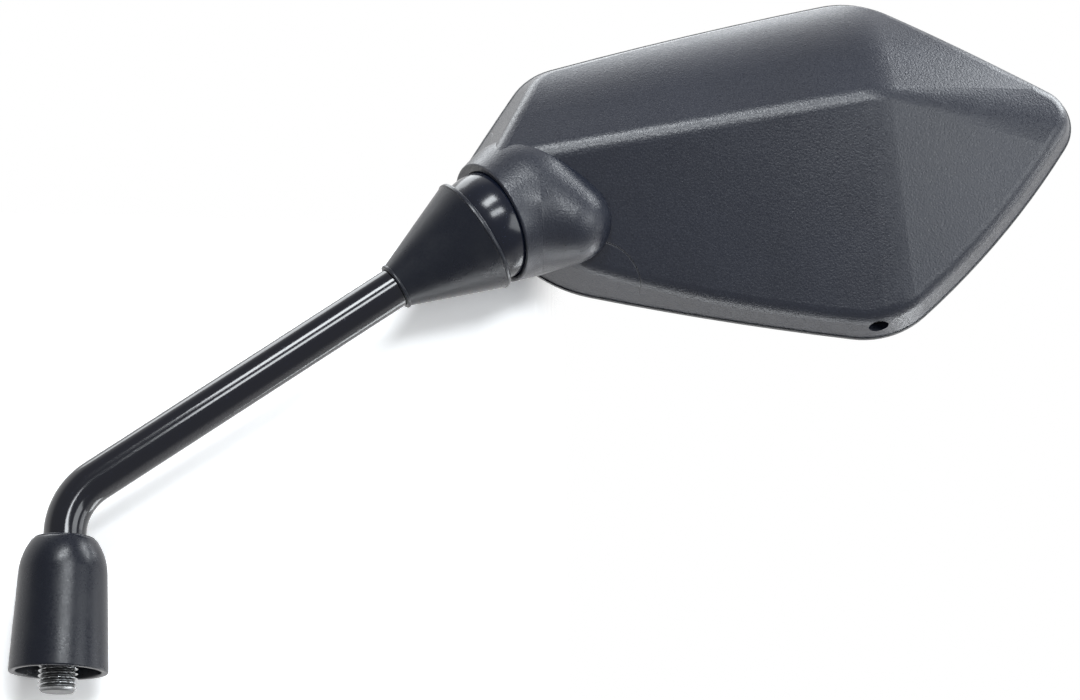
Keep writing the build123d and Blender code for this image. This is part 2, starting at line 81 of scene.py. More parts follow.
class Field:
    """A number that changes over a surface; its operators add Math nodes."""

    def __init__(self, graph: "Graph", socket: Socket) -> None:
        """Keeps the graph and the socket that gives the number."""
        self.graph = graph
        self.socket = socket

    def _math(self, operation: str, first: Number, second: Number = 0.0) -> "Field":
        """Result of one Math node, from the operation's name and its operands."""
        made = self.graph.node("Math", {"operation": operation}, {0: first, 1: second})
        return Field(self.graph, made.outputs[0])

    def __add__(self, other: Number) -> "Field":
        """Sum."""
        return self._math("ADD", self, other)

    def __radd__(self, other: float) -> "Field":
        """Sum, with the number first."""
        return self._math("ADD", other, self)

    def __sub__(self, other: Number) -> "Field":
        """Difference."""
        return self._math("SUBTRACT", self, other)

    def __rsub__(self, other: float) -> "Field":
        """Difference, with the number first."""
        return self._math("SUBTRACT", other, self)

    def __mul__(self, other: Number) -> "Field":
        """Product."""
        return self._math("MULTIPLY", self, other)

    def __rmul__(self, other: float) -> "Field":
        """Product, with the number first."""
        return self._math("MULTIPLY", other, self)

    def __abs__(self) -> "Field":
        """Absolute value."""
        return self._math("ABSOLUTE", self)

    def root(self) -> "Field":
        """Square root."""
        return self._math("SQRT", self)

    def at_least(self, other: Number) -> "Field":
        """The larger of two values."""
        return self._math("MAXIMUM", self, other)

    def step(self, low: float, high: float) -> "Field":
        """Smooth step.

        Args:
            low: Value at which the step is 0.
            high: Value at which the step is 1; it may be the lower of the two.

        Returns:
            A value from 0 to 1.
        """
        rising = low < high
        bounds = (low, high) if rising else (high, low)
        made = self.graph.node(
            "MapRange",
            {"interpolation_type": "SMOOTHSTEP"},
            {"Value": self, "From Min": bounds[0], "From Max": bounds[1]},
        )
        result = Field(self.graph, made.outputs[0])
        return result if rising else 1.0 - result


class Graph:
    """Adds nodes to the tree of one material or of the world."""

    def __init__(self, owner: Union[bpy.types.Material, bpy.types.World]) -> None:
        """Turns on the owner's nodes, empties their tree and keeps it."""
        owner.use_nodes = True
        self.tree = owner.node_tree
        self.tree.nodes.clear()
        self._place: Optional[bpy.types.Node] = None

    def node(
        self,
        kind: str,
        settings: Optional[Mapping[str, object]] = None,
        inputs: Optional[Mapping[Union[str, int], object]] = None,
    ) -> bpy.types.Node:
        """Adds one node.

        Args:
            kind: Type of the node, after its ShaderNode.
            settings: Properties of the node, which are set first.
            inputs: Value or link of each socket, by its name or number.

        Returns:
            The node.
        """
        made = self.tree.nodes.new("ShaderNode" + kind)
        for name, value in (settings or {}).items():
            setattr(made, name, value)
        for key, value in (inputs or {}).items():
            source = value.socket if isinstance(value, Field) else value
            if isinstance(source, Socket):
                self.tree.links.new(source, made.inputs[key])
            else:
                made.inputs[key].default_value = source
        return made

    def field(self, node: bpy.types.Node, output: Union[str, int] = 0) -> Field:
        """The number that a node gives at one of its outputs."""
        return Field(self, node.outputs[output])

    def place(self) -> Socket:
        """Place on the object, in metres."""
        if self._place is None:
            self._place = self.node("TexCoord")
        return self._place.outputs["Object"]

    def axes(self) -> Tuple[Field, Field, Field]:
        """Place on the object as three numbers."""
        split = self.node("SeparateXYZ", inputs={0: self.place()})
        return self.field(split, 0), self.field(split, 1), self.field(split, 2)

    def noise(self, size: float, detail: float = 2.0, stretch: Point = (1.0, 1.0, 1.0)) -> Field:
        """Cloudy noise.

        Args:
            size: Size of its clouds in metres.
            detail: Octaves of finer noise.
            stretch: Density along each axis.

        Returns:
            A value about 0.5, from 0 to 1.
        """
        mapped = self.node("Mapping", inputs={"Vector": self.place(), "Scale": stretch})
        made = self.node(
            "TexNoise",
            inputs={"Vector": mapped.outputs[0], "Scale": 1.0 / size, "Detail": detail},
        )
        return self.field(made, 0)

    def cells(self, size: float) -> Field:
        """Distance to the nearest of many scattered points, in cell sizes."""
        made = self.node(
            "TexVoronoi", inputs={"Vector": self.place(), "Scale": 1.0 / size}
        )
        return self.field(made, "Distance")

    def blend(self, share: Field, first: Colour, second: Colour) -> Socket:
        """Colour between two colours.

        Args:
            share: Share of the second colour.
            first: First colour.
            second: Second colour.

        Returns:
            The blended colour.
        """
        made = self.node(
            "Mix",
            {"data_type": "RGBA"},
            {0: share, 6: (*first, 1.0), 7: (*second, 1.0)},
        )
        return made.outputs[2]

    def bump(self, height: Field, strength: float, depth: float) -> Socket:
        """Normal of a surface with fine relief.

        Args:
            height: Relief, in depths.
            strength: Share of the relief that shows.
            depth: Depth of the relief in metres.

        Returns:
            The normal.
        """
        made = self.node(
            "Bump", inputs={"Strength": strength, "Distance": depth, "Height": height}
        )
        return made.outputs[0]


def scaled(colour: Colour, share: float) -> Colour:
    """A colour made lighter or darker by a share."""
    return tuple(channel * share for channel in colour)


@dataclass(frozen=True)
class WitnessLine:
    """Fine line that a joint in the mould leaves: part of a circle seen along Y.

    Attributes:
        centre: Centre of the circle, in X and Z.
        radius: Radius of the circle.
        middle: Direction from the centre to the middle of the line, in X and Z.
        reach: Cosine of half the angle that the line covers.
        width: Half the width of the line with its soft edges.
        core: Share of that width that is full line.
        fade: Half the length over which an end of the line fades.
        deep: Place on Y at which the line ends, near the rim.
        deep_fade: Length over which it fades there.
    """

    centre: Pair
    radius: float
    middle: Pair
    reach: float
    width: float = 0.00026
    core: float = 0.35
    fade: float = 0.0004
    deep: float = 0.02
    deep_fade: float = 0.001

    def mask(self, graph: Graph) -> Field:
        """Share of the line at each place: near the circle, and within its reach.

        Args:
            graph: Nodes of the material.

        Returns:
            1 on the line and 0 off it.
        """
        x, y, z = graph.axes()
        across = x - self.centre[0]
        up = z - self.centre[1]
        distance = (across * across + up * up).root()
        near = abs(distance - self.radius).step(self.width, self.width * self.core)
        along = across * self.middle[0] + up * self.middle[1]
        limit = self.radius * self.reach
        within = along.step(limit - self.fade, limit + self.fade)
        return near * within * y.step(self.deep, self.deep - self.deep_fade)


@dataclass(frozen=True)
class SoftValley:
    """Rounding of the valley in which the neck meets the boss, as relief.

    The valley lies in the plane where X plus the two leans times Y and Z equals the place. The
    relief is highest there and falls to both sides as the square of the share of the reach left.

    Attributes:
        place: Place of the plane on X.
        lean: Shares of Y and of Z in the plane.
        reach: Distance to each side over which the valley is rounded.
        slope: Slope of the relief at the valley.
        above: Height at which the rounding ends.
        behind: Place on Y at which the rounding ends.
        above_fade: Length over which it fades below that height.
        behind_fade: Length over which it fades before that place.
    """

    place: float
    lean: Pair
    reach: float
    slope: float
    above: float
    behind: float
    above_fade: float = 0.006
    behind_fade: float = 0.005

    def height(self, graph: Graph) -> Field:
        """Height of the relief in metres.

        Args:
            graph: Nodes of the material.

        Returns:
            The height, 0 away from the valley.
        """
        x, y, z = graph.axes()
        away = abs(x + y * self.lean[0] + z * self.lean[1] - self.place)
        share = (1.0 - away * (1.0 / self.reach)).at_least(0.0)
        low = z.step(self.above, self.above - self.above_fade)
        before = y.step(self.behind, self.behind - self.behind_fade)
        return share * share * (low * before) * (self.slope * self.reach / 2)


@dataclass(frozen=True)
class Finish:
    """What all finishes share.

    Attributes:
        name: Name of the material.
        colour: Colour of the surface.
        roughness: Roughness of the surface.
        shine: Level of the mirror-like share at a straight look; 0.5 is 4 per cent.
    """

    name: str
    colour: Colour
    roughness: float
    shine: float = 0.5

    def material(self) -> bpy.types.Material:
        """Makes the material of the finish.

        Returns:
            The material.
        """
        made = bpy.data.materials.new(self.name)
        graph = Graph(made)
        inputs = {"Specular IOR Level": self.shine, **self.sockets(graph)}
        surface = graph.node("BsdfPrincipled", inputs=inputs)
        graph.node("OutputMaterial", inputs={"Surface": surface.outputs[0]})
        return made

    def sockets(self, graph: Graph) -> Sockets:
        """Values and links of the surface's sockets, by name."""
        raise NotImplementedError


@dataclass(frozen=True)
class MouldedPlastic(Finish):
    """Black plastic out of a spark-eroded mould, with witness lines of its cores, whose grooves
    get painted shade.

    Attributes:
        grain: Size of the eroded grain.
        depth: Depth of the grain.
        lines: Witness lines on the surface.
        valleys: Valleys that are rounded.
        pit: Size of the scattered pits, in grains.
        cloud: Size of the clouds in colour and gloss.
        fine_relief: Share of the grain in the relief; the pits have the rest.
        cloud_shade: Share of the clouds in the colour; the grain has the rest.
        swing: Share by which the colour gets darker and lighter.
        fine_gloss: Swing of the roughness with the grain.
        cloud_gloss: Swing of the roughness with the clouds.
        smoothest: Least roughness.
        groove: Depth of a witness line, in depths of the grain.
        groove_shade: Share of the colour's lighter part that a witness line takes, as painted
            shade in its groove.
        strength: Share of the relief that shows.
    """

    grain: float = 0.00045
    depth: float = 0.00009
    lines: Sequence[WitnessLine] = ()
    valleys: Sequence[SoftValley] = ()
    pit: float = 1.4
    cloud: float = 0.03
    fine_relief: float = 0.6
    cloud_shade: float = 0.55
    swing: float = 0.4
    fine_gloss: float = 0.42
    cloud_gloss: float = 0.06
    smoothest: float = 0.26
    groove: float = 1.6
    groove_shade: float = 0.9
    strength: float = 0.9

    def sockets(self, graph: Graph) -> Sockets:
        """Grain in the relief and the gloss, faint clouds in the colour."""
        fine = graph.noise(self.grain, detail=1.0)
        pits = graph.cells(self.grain * self.pit)
        clouds = graph.noise(self.cloud, detail=3.0)
        height = fine * self.fine_relief + pits * (1.0 - self.fine_relief)
        shade = clouds * self.cloud_shade + fine * (1.0 - self.cloud_shade)
        rough = self.roughness + (fine - 0.5) * self.fine_gloss + (clouds - 0.5) * self.cloud_gloss
        for line in self.lines:
            mask = line.mask(graph)
            height = height - mask * self.groove
            # Painted shade: the colour darkens along each witness line's groove, which the relief
            # also lowers.
            shade = shade * (1.0 - mask * self.groove_shade)
        for valley in self.valleys:
            height = height + valley.height(graph) * (1.0 / self.depth)
        dark = scaled(self.colour, 1.0 - self.swing)
        light = scaled(self.colour, 1.0 + self.swing)
        return {
            "Base Color": graph.blend(shade, dark, light),
            "Roughness": rough.at_least(self.smoothest),
            "Normal": graph.bump(height, self.strength, self.depth),
        }


@dataclass(frozen=True)
class SoftRubber(Finish):
    """Black moulded rubber with a faint grey bloom.

    Attributes:
        bloom: Colour of the bloom.
        relief: Depth of its fine relief.
        grain: Size of the fine relief.
        cloud: Size of the bloom's clouds.
        edges: Values of the noise between which a cloud begins.
        cloud_bloom: Share of the bloom in a cloud.
        fine_bloom: Share of the bloom in the fine relief.
        cloud_gloss: Roughness that a cloud adds.
        fine_gloss: Swing of the roughness with the fine relief.
        strength: Share of the relief that shows.
    """

    bloom: Colour = (0.008, 0.010, 0.016)
    relief: float = 0.00005
    grain: float = 0.0006
    cloud: float = 0.012
    edges: Pair = (0.42, 0.68)
    cloud_bloom: float = 0.6
    fine_bloom: float = 0.2
    cloud_gloss: float = 0.05
    fine_gloss: float = 0.25
    strength: float = 0.35

    def sockets(self, graph: Graph) -> Sockets:
        """Fine relief, and a bloom that dulls the gloss in clouds."""
        fine = graph.noise(self.grain, detail=2.0)
        clouds = graph.noise(self.cloud, detail=3.0).step(*self.edges)
        share = clouds * self.cloud_bloom + fine * self.fine_bloom
        return {
            "Base Color": graph.blend(share, self.colour, self.bloom),
            "Roughness": self.roughness
            + clouds * self.cloud_gloss
            + (fine - 0.5) * self.fine_gloss,
            "Normal": graph.bump(fine, self.strength, self.relief),
        }


@dataclass(frozen=True)
class GlossPaint(Finish):
    """Black gloss enamel with a slight orange peel and a little dust.

    Attributes:
        peel: Size of the orange peel.
        peel_depth: Depth of the orange peel.
        peel_strength: Share of its relief that shows.
        speck: Size of the specks of dust.
        speck_edges: Values of the noise between which a speck begins.
        dust_share: Share of the dust's colour in a speck.
        dust_light: How many times lighter the dust is than the paint.
        dust_gloss: Roughness that a speck adds.
        wipe: Size of the wipes.
        wipe_stretch: Density of the wipes along each axis.
        wipe_gloss: Swing of the roughness with the wipes.
    """

    peel: float = 0.0022
    peel_depth: float = 0.00002
    peel_strength: float = 0.25
    speck: float = 0.0007
    speck_edges: Pair = (0.66, 0.74)
    dust_share: float = 0.5
    dust_light: float = 4.0
    dust_gloss: float = 0.12
    wipe: float = 0.02
    wipe_stretch: Point = (1.0, 3.0, 1.0)
    wipe_gloss: float = 0.06

    def sockets(self, graph: Graph) -> Sockets:
        """Orange peel in the relief, dust and slight wipes in the gloss."""
        peel = graph.noise(self.peel, detail=1.0)
        dust = graph.noise(self.speck, detail=2.0).step(*self.speck_edges)
        wipes = graph.noise(self.wipe, detail=3.0, stretch=self.wipe_stretch)
        dusty = scaled(self.colour, self.dust_light)
        return {
            "Base Color": graph.blend(dust * self.dust_share, self.colour, dusty),
            "Roughness": self.roughness
            + (wipes - 0.5) * self.wipe_gloss
            + dust * self.dust_gloss,
            "Normal": graph.bump(peel, self.peel_strength, self.peel_depth),
        }


@dataclass(frozen=True)
class ZincPlate(Finish):
    """Bright zinc on steel, darker towards the axis of the stud as painted shade in the thread's
    roots.

    Attributes:
        root: Distance from the stud's axis at which the painted shade in the thread is full.
        crest: Distance at which the painted shade ends.
        root_shade: Lightness of the painted shade, as a share of the zinc's.
        root_gloss: Roughness that the thread's roots add.
        spangle: Size of the spangle.
        spangle_shade: Least share of the unshaded zinc's colour, and what the spangle adds to it.
        spangle_gloss: Swing of the roughness with the spangle.
        scuff: Size of the scuffs.
        scuff_depth: Depth of the scuffs.
        scuff_strength: Share of their relief that shows.
    """

    root: float = 0.0042
    crest: float = 0.0049
    root_shade: float = 0.3
    root_gloss: float = 0.15
    spangle: float = 0.0012
    spangle_shade: Pair = (0.75, 0.4)
    spangle_gloss: float = 0.2
    scuff: float = 0.0004
    scuff_depth: float = 0.00002
    scuff_strength: float = 0.2

    def sockets(self, graph: Graph) -> Sockets:
        """Spangle in the gloss, and painted shade where the surface lies near the axis."""
        x, y, _ = graph.axes()
        radius = (x * x + y * y).root()
        # Painted shade: the colour darkens where the surface lies near the stud's axis, in the
        # thread's roots.
        unshaded = radius.step(self.root, self.crest)
        spangle = graph.noise(self.spangle, detail=3.0)
        share = unshaded * (self.spangle_shade[0] + spangle * self.spangle_shade[1])
        scuffs = graph.noise(self.scuff, detail=2.0)
        return {
            "Base Color": graph.blend(share, scaled(self.colour, self.root_shade), self.colour),
            "Roughness": self.roughness
            + (spangle - 0.5) * self.spangle_gloss
            + (1.0 - unshaded) * self.root_gloss,
            "Normal": graph.bump(scuffs, self.scuff_strength, self.scuff_depth),
            "Metallic": 1.0,
        }


@dataclass(frozen=True)
class BareSteel(Finish):
    """Turned steel of the joint's inner pieces and of the screws.

    Attributes:
        streak: Size of the brushed streaks.
        stretch: Density of the streaks along each axis.
        dark: Lightness of a dark streak, as a share of the steel's.
        gloss: Swing of the roughness with the streaks.
    """

    streak: float = 0.0008
    stretch: Point = (1.0, 6.0, 1.0)
    dark: float = 0.8
    gloss: float = 0.2

    def sockets(self, graph: Graph) -> Sockets:
        """Brushed streaks in colour and gloss."""
        streaks = graph.noise(self.streak, detail=3.0, stretch=self.stretch)
        return {
            "Base Color": graph.blend(streaks, scaled(self.colour, self.dark), self.colour),
            "Roughness": self.roughness + (streaks - 0.5) * self.gloss,
            "Metallic": 1.0,
        }


@dataclass(frozen=True)
class Silvering(Finish):
    """Silvered glass with a hardly visible film of wiping.

    Attributes:
        wipe: Size of the wiping streaks.
        stretch: Density of the streaks along each axis.
        dark: Lightness under the film, as a share of the glass's.
        edges: Values of the noise between which the film begins.
        gloss: Roughness that the film adds.
    """

    wipe: float = 0.03
    stretch: Point = (1.0, 1.0, 2.5)
    dark: float = 0.97
    edges: Pair = (0.45, 0.75)
    gloss: float = 0.03

    def sockets(self, graph: Graph) -> Sockets:
        """Wiping streaks in the gloss and a trace of tint."""
        film = graph.noise(self.wipe, detail=4.0, stretch=self.stretch)
        return {
            "Base Color": graph.blend(film, scaled(self.colour, self.dark), self.colour),
            "Roughness": self.roughness + film.step(*self.edges) * self.gloss,
            "Metallic": 1.0,
        }


@dataclass
class Paints:
    """All finishes of the mirror, one for each slot of the record."""

    finishes: Mapping[Slot, Finish]
    made: Dict[Slot, bpy.types.Material] = field(default_factory=dict)

    def material(self, slot: Slot) -> bpy.types.Material:
        """The material of a slot, made on its first use.

        Args:
            slot: Slot of the record.

        Returns:
            The material.
        """
        if slot not in self.made:
            self.made[slot] = self.finishes[slot].material()
        return self.made[slot]

    def dress(self, node: str, slot: Slot) -> None:
        """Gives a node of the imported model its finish.

        Args:
            node: Name of the node.
            slot: Slot of the record.
        """
        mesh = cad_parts[node].data
        mesh.materials.clear()
        mesh.materials.append(self.material(slot))
        log.info("node %s: %s", node, slot.value)

    def place(
        self, piece: bpy.types.Object, slot: Slot, body: Body, stands_for: str = ""
    ) -> None:
        """Gives a new piece its finish and its body.

        Args:
            piece: The piece.
            slot: Slot of the record.
            body: Body that it rides on.
            stands_for: Node that it replaces, if any.
        """
        piece.data.materials.append(self.material(slot))
        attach(piece, body.value)
        if stands_for:
            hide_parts(stands_for)
        log.info("piece %s: %s, %d faces", piece.name, slot.value, len(piece.data.polygons))


def grid_piece(
    name: str, points: np.ndarray, closed: bool, crease: float = 35.0
) -> bpy.types.Object:
    """Mesh of rings: row i and column j of the grid are one point of ring i.

    Neighbouring rings are joined by quads. The last ring joins the first where the rows are
    closed; otherwise one flat face closes each end. Where the volume that the quads sweep from
    the origin is negative, the faces are turned round to point outwards.

    Args:
        name: Name of the piece.
        points: Points as rows, columns and coordinates.
        closed: True where the rows run in a loop.
        crease: Angle in degrees above which an edge stays sharp.

    Returns:
        The piece, at the origin.
    """
    rows, columns = points.shape[:2]
    index = np.arange(rows * columns).reshape(rows, columns)
    near = index if closed else index[:-1]
    far = np.roll(index, -1, axis=0) if closed else index[1:]
    quads = np.stack([near, np.roll(near, -1, axis=1), np.roll(far, -1, axis=1), far], axis=-1)
    ends = [] if closed else [index[0, ::-1].tolist(), index[-1].tolist()]
    mesh = bpy.data.meshes.new(name)
    mesh.from_pydata(points.reshape(-1, 3).tolist(), [], quads.reshape(-1, 4).tolist() + ends)
    corners = points.reshape(-1, 3)[quads.reshape(-1, 4)]
    a, b, c, d = (corners[:, k] for k in range(4))
    volume = np.einsum("ij,ij->", a, np.cross(b, c)) + np.einsum("ij,ij->", a, np.cross(c, d))
    if volume < 0:
        mesh.flip_normals()
    mesh.shade_smooth()
    mesh.set_sharp_from_angle(angle=radians(crease))
    mesh.validate()
    piece = bpy.data.objects.new(name, mesh)
    bpy.context.scene.collection.objects.link(piece)
    return piece


def lathe(profile: np.ndarray, origin: np.ndarray, axis: np.ndarray, sides: int) -> np.ndarray:
    """Turns a profile about an axis: a point is axis times along, plus radius round the axis.

    Args:
        profile: Distances along the axis and radii, one row for each ring.
        origin: Point of the axis from which the distances count.
        axis: Direction of the axis.
        sides: Points in a ring.

    Returns:
        Points as rings, columns and coordinates.
    """
    first = np.cross(axis, (0.0, 1.0, 0.0))
    first = first / np.linalg.norm(first)
    second = np.cross(axis, first)
    turn = np.linspace(0.0, 2.0 * np.pi, sides, endpoint=False)
    around = np.cos(turn)[:, None] * first + np.sin(turn)[:, None] * second
    return origin + profile[:, :1, None] * axis + profile[:, 1:, None] * around[None]


def rounded(
    corners: Sequence[Pair], soft: Sequence[float], steps: int = 6
) -> np.ndarray:
    """Closed outline with softened corners.

    Each corner becomes a curve of second degree from one tangent point to the other, with the
    corner as its control point.

    Args:
        corners: Two coordinates of each corner.
        soft: How far back from each corner its curve starts.
        steps: Points in a softened corner.

    Returns:
        Points of the outline.
    """
    place, back = np.array(corners), np.array(soft)[:, None]
    before = np.roll(place, 1, axis=0) - place
    after = np.roll(place, -1, axis=0) - place
    start = place + back * before / np.linalg.norm(before, axis=1, keepdims=True)
    end = place + back * after / np.linalg.norm(after, axis=1, keepdims=True)
    t = np.linspace(0.0, 1.0, steps)[None, :, None]
    curve = (1 - t) ** 2 * start[:, None] + 2 * t * (1 - t) * place[:, None] + t**2 * end[:, None]
    return curve.reshape(-1, 2)


@dataclass
class Stem:
    """Bent rod in gloss paint with a bright threaded stud and its lock nut.

    Attributes:
        radius: Radius of the rod.
        start: Height at which the rod begins above the thread.
        bend_height: Height of the bend's corner.
        bend_radius: Radius of the bend's centreline.
        rise: Angle of the upper leg above the horizon, in degrees.
        reach: Length from the bend's corner to the ball's centre.
        ball_radius: Radius of the ball.
        stud_radius: Outer radius of the thread.
        stud_length: Length of the stud below the nut.
        pitch: Pitch of the thread.
        depth: Depth of the thread, in pitches.
        root: Width of the thread's root, in pitches.
        crest: Width of the thread's crest, in pitches.
        run_out: Length over which the thread runs out.
        bevel: Height of the bevel at the tip.
        relief: Radius of the plain length inside the nut.
        sides: Points in a ring.
        rod_rings: Rings of the lower leg, the bend and the upper leg.
        stud_rings: Rings of the stud.
    """

    radius: float = 0.0055
    start: float = 0.012
    bend_height: float = 0.0339
    bend_radius: float = 0.017
    rise: float = 35.5
    reach: float = 0.1339
    ball_radius: float = 0.015
    stud_radius: float = 0.005
    stud_length: float = 0.016
    pitch: float = 0.00125
    depth: float = 0.613
    root: float = 0.25
    crest: float = 0.125
    run_out: float = 0.0012
    bevel: float = 0.001
    relief: float = 0.00465
    sides: int = 96
    rod_rings: Tuple[int, int, int] = (6, 40, 24)
    stud_rings: int = 300

    def direction(self) -> np.ndarray:
        """Direction of the upper leg."""
        return np.array([cos(radians(self.rise)), 0.0, sin(radians(self.rise))])

    def ball_centre(self) -> np.ndarray:
        """Centre of the ball."""
        return np.array([0.0, 0.0, self.bend_height]) + self.direction() * self.reach

    def centreline(self) -> Tuple[np.ndarray, np.ndarray]:
        """Line of the rod: up the Z axis, round the bend and along the upper leg.

        Returns:
            Points of the line, and its direction at each of them.
        """
        turn = radians(90.0 - self.rise)
        bend_start = self.bend_height - self.bend_radius * tan(turn / 2)
        end = self.reach - np.sqrt(self.ball_radius**2 - self.radius**2)
        below, bent, beyond = self.rod_rings
        lower = np.linspace(self.start, bend_start, below, endpoint=False)
        angle = np.linspace(0.0, turn, bent)
        upper = np.linspace(self.bend_radius * tan(turn / 2), end, beyond)[1:]
        out = np.concatenate(
            [lower * 0, self.bend_radius * (1 - np.cos(angle)), upper * cos(radians(self.rise))]
        )
        up = np.concatenate(
            [
                lower,
                bend_start + self.bend_radius * np.sin(angle),
                self.bend_height + upper * sin(radians(self.rise)),
            ]
        )
        lean = np.concatenate([lower * 0, angle, upper * 0 + turn])
        line = np.stack([out, out * 0, up], axis=1)
        return line, np.stack([np.sin(lean), lean * 0, np.cos(lean)], axis=1)

    def rod(self) -> bpy.types.Object:
        """Rod: a circle carried along its line, each ring square to the line."""
        line, along = self.centreline()
        across = np.array([0.0, 1.0, 0.0])
        inward = np.cross(along, across)
        turn = np.linspace(0.0, 2.0 * np.pi, self.sides, endpoint=False)
        ring = (
            np.cos(turn)[None, :, None] * across
            + np.sin(turn)[None, :, None] * inward[:, None, :]
        )
        return grid_piece("stem_tube", line[:, None, :] + self.radius * ring, closed=False)

    def thread(self) -> bpy.types.Object:
        """Stud: radius falls from the crest to the root with the phase of a helix.

        The phase is height over pitch minus the turn; the flanks between crest and root are
        straight. The tip is bevelled and the thread runs out upwards.
        """
        height = np.linspace(-self.stud_length, self.start, self.stud_rings)[:, None]
        turn = np.linspace(0.0, 1.0, self.sides, endpoint=False)[None, :]
        wave = np.abs(2.0 * np.mod(height / self.pitch - turn, 1.0) - 1.0)
        flank = np.clip((wave - self.root) / (1.0 - self.root - self.crest), 0.0, 1.0)
        radius = self.stud_radius - self.depth * self.pitch * (1.0 - flank)
        plain = np.clip((height + self.run_out) / self.run_out, 0.0, 1.0)
        radius = radius * (1.0 - plain) + self.relief * plain
        radius = np.minimum(radius, self.stud_radius - self.bevel + height + self.stud_length)
        points = np.stack(
            [
                radius * np.cos(2.0 * np.pi * turn),
                radius * np.sin(2.0 * np.pi * turn),
                np.broadcast_to(height, radius.shape),
            ],
            axis=-1,
        )
        return grid_piece("stud_thread", points, closed=False, crease=25.0)

    def build(self, paints: Paints) -> None:
        """Makes the rod and the stud and dresses the nut."""
        paints.place(self.rod(), Slot.STEM_PAINT, Body.STEM, stands_for="stem_rod")
        paints.place(self.thread(), Slot.ZINC, Body.STEM)
        paints.dress("lock_nut", Slot.ZINC)


@dataclass
class StudCover:
    """Rubber bell over the lock nut, with a soft shoulder and a soft lower rim.

    Attributes:
        bottom: Height of the rim.
        shoulder: Height at which the shoulder begins.
        top: Height of the upper end.
        rim_radius: Outer radius at the rim.
        shoulder_radius: Outer radius where the shoulder begins.
        top_radius: Outer radius at the upper end.
        bore: Radius that grips the stem.
        wall: Wall of the bell.
        collar: Length that grips the stem.
        soft: Softening of the corners, from the upper end through the inside to the rim.
        arc_steps: Points on the shoulder's arc.
        arc_overlap: Last points of that arc, which the softened upper corner stands for.
        sides: Points in a ring.
    """

    bottom: float = -0.011
    shoulder: float = 0.0145
    top: float = 0.0236
    rim_radius: float = 0.01265
    shoulder_radius: float = 0.0113
    top_radius: float = 0.00785
    bore: float = 0.00555
    wall: float = 0.0018
    collar: float = 0.004
    soft: Sequence[float] = (0.00045, 0.0002, 0.0005, 0.002, 0.0005, 0.0006)
    arc_steps: int = 24
    arc_overlap: int = 2
    sides: int = 96

    def shoulder_arc(self) -> np.ndarray:
        """Arc that leaves the flank along its tangent and ends at the upper end.

        Its radius is half the square of the chord over the chord's part across the tangent.

        Returns:
            Heights and radii.
        """
        start = np.array([self.shoulder, self.shoulder_radius])
        flank = start - np.array([self.bottom, self.rim_radius])
        flank = flank / np.linalg.norm(flank)
        inward = np.array([flank[1], -flank[0]])
        chord = np.array([self.top, self.top_radius]) - start
        radius = chord @ chord / (2.0 * chord @ inward)
        angle = 2.0 * np.arctan2(chord @ inward, chord @ flank)
        turn = np.linspace(0.0, angle, self.arc_steps)[:, None]
        return start + radius * (np.sin(turn) * flank + (1.0 - np.cos(turn)) * inward)

    def skin(self) -> bpy.types.Object:
        """Bell: a closed profile turned about the stud's axis."""
        inside = rounded(
            [
                (self.top, self.top_radius),
                (self.top, self.bore),
                (self.top - self.collar, self.bore),
                (self.shoulder - self.collar, self.shoulder_radius - self.wall),
                (self.bottom, self.rim_radius - self.wall),
                (self.bottom, self.rim_radius),
            ],
            self.soft,
        )
        profile = np.concatenate([inside, self.shoulder_arc()[: -self.arc_overlap]])
        points = lathe(profile, np.zeros(3), np.array([0.0, 0.0, 1.0]), self.sides)
        return grid_piece("cover_skin", points, closed=True)

    def build(self, paints: Paints) -> None:
        """Makes the bell in place of its plain solid."""
        paints.place(self.skin(), Slot.RUBBER, Body.STEM, stands_for="stud_cover")


@dataclass
class JointBoot:
    """Rubber cone between stem and ball, with a bead at its neck and a rolled rim.

    Attributes:
        gap: Distance of the rim behind the ball's centre.
        length: Length of the cone.
        rim_radius: Outer radius of the rim.
        lip: Width of the rolled rim.
        step: Height of the rolled rim above the cone.
        neck_radius: Radius of the cone at its neck.
        bead_radius: Radius of the bead at the neck.
        bead: Length of the bead.
        bore: Radius that grips the stem.
        collar: Length that grips the stem.
        soft: Softening of the corners, from the bore at the neck over the outside to the collar.
        sides: Points in a ring.
    """

    gap: float = 0.0044
    length: float = 0.0268
    rim_radius: float = 0.01625
    lip: float = 0.0013
    step: float = 0.00025
    neck_radius: float = 0.0063
    bead_radius: float = 0.00655
    bead: float = 0.0009
    bore: float = 0.00555
    collar: float = 0.0045
    soft: Sequence[float] = (
        0.0002, 0.0004, 0.0003, 0.0001, 0.0002, 0.0002, 0.0008, 0.0003, 0.001,
    )
    sides: int = 128

    def skin(self, stem: Stem) -> bpy.types.Object:
        """Cone: a closed profile turned about the stem's upper leg."""
        start = -self.gap - self.length
        profile = rounded(
            [
                (start, self.bore),
                (start, self.bead_radius),
                (start + self.bead, self.bead_radius),
                (start + self.bead, self.neck_radius),
                (-self.gap - self.lip, self.rim_radius - self.step),
                (-self.gap - self.lip, self.rim_radius),
                (-self.gap, self.rim_radius),
                (-self.gap, self.rim_radius - self.lip),
                (start + self.collar, self.bore),
            ],
            self.soft,
        )
        points = lathe(profile, stem.ball_centre(), stem.direction(), self.sides)
        return grid_piece("boot_skin", points, closed=True)

    def build(self, paints: Paints, stem: Stem) -> None:
        """Makes the cone in place of its plain solid."""
        paints.place(self.skin(stem), Slot.RUBBER, Body.STEM, stands_for="joint_boot")


@dataclass
class DressedSolids:
    """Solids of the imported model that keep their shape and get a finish.

    Attributes:
        nodes: Slot of each node.
    """

    nodes: Mapping[str, Slot]

    def build(self, paints: Paints) -> None:
        """Dresses the nodes, in their order."""
        for node, slot in self.nodes.items():
            paints.dress(node, slot)


